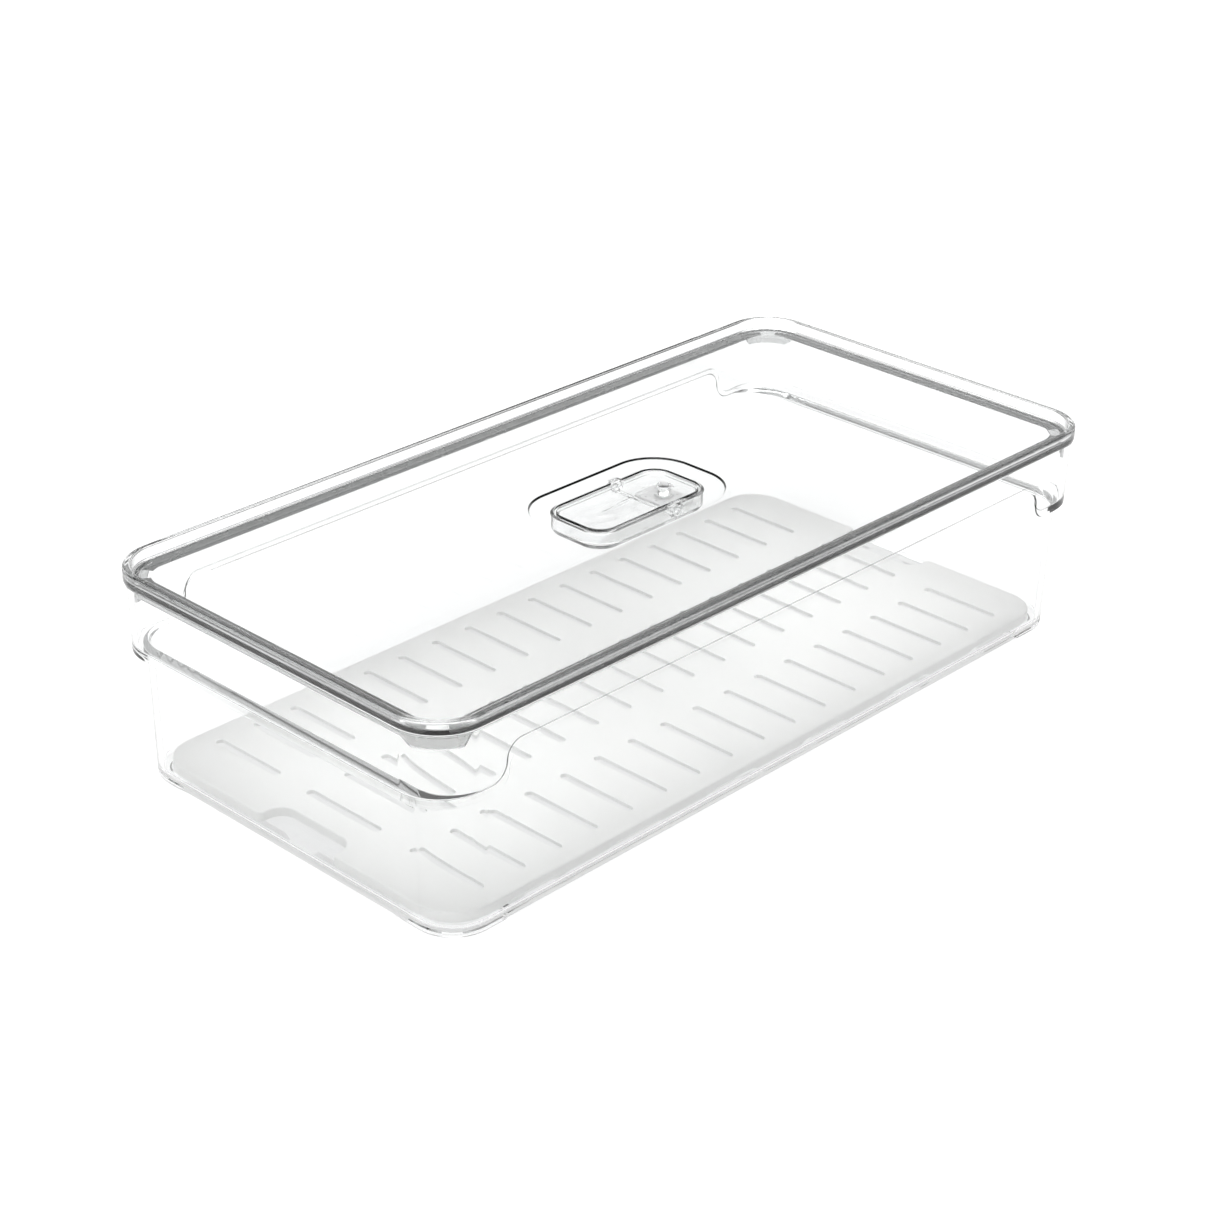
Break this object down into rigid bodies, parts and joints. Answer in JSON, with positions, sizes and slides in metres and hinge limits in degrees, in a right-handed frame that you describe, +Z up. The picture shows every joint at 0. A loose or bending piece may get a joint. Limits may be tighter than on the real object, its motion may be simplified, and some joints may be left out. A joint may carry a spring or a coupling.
{
  "type": "fridge bin",
  "caption": "Clear rectangular fridge storage bin with a stepped wall, a lift-off lid with a rocking vent cap, and a slotted drain tray on its floor.",
  "frame": {"origin": "middle of the bin's base, on the surface it stands on", "axes": "+X along the length, +Y across the width, +Z up; the vent's thumb end points to -X"},
  "size_m": [0.375, 0.1816, 0.0906],
  "materials": {
    "clear_bin": "clear, glossy, moulded",
    "clear_lid": "clear, glossy, moulded",
    "clear_vent": "clear, glossy, moulded",
    "seal": "translucent soft silicone, satin",
    "tray": "opaque white, fine satin"
  },
  "bodies": {
    "bin": {"bin": "clear_bin"},
    "lid": {"lid": "clear_lid"},
    "vent": {"vent_cap": "clear_vent", "vent_seal": "seal"},
    "tray": {"drain_tray": "tray"}
  },
  "joints": [
    {"name": "lid_lift", "type": "slide", "parent": "bin", "child": "lid", "axis": [0, 0, 1], "range_m": [0, 0.12]},
    {"name": "tray_lift", "type": "slide", "parent": "bin", "child": "tray", "axis": [0, 0, 1], "range_m": [0, 0.06]},
    {"name": "vent_rock", "type": "hinge", "parent": "lid", "child": "vent", "pos_m": [0.01, 0, 0.0824], "axis": [0, -1, 0], "range_deg": [0, 6.5]}
  ]
}
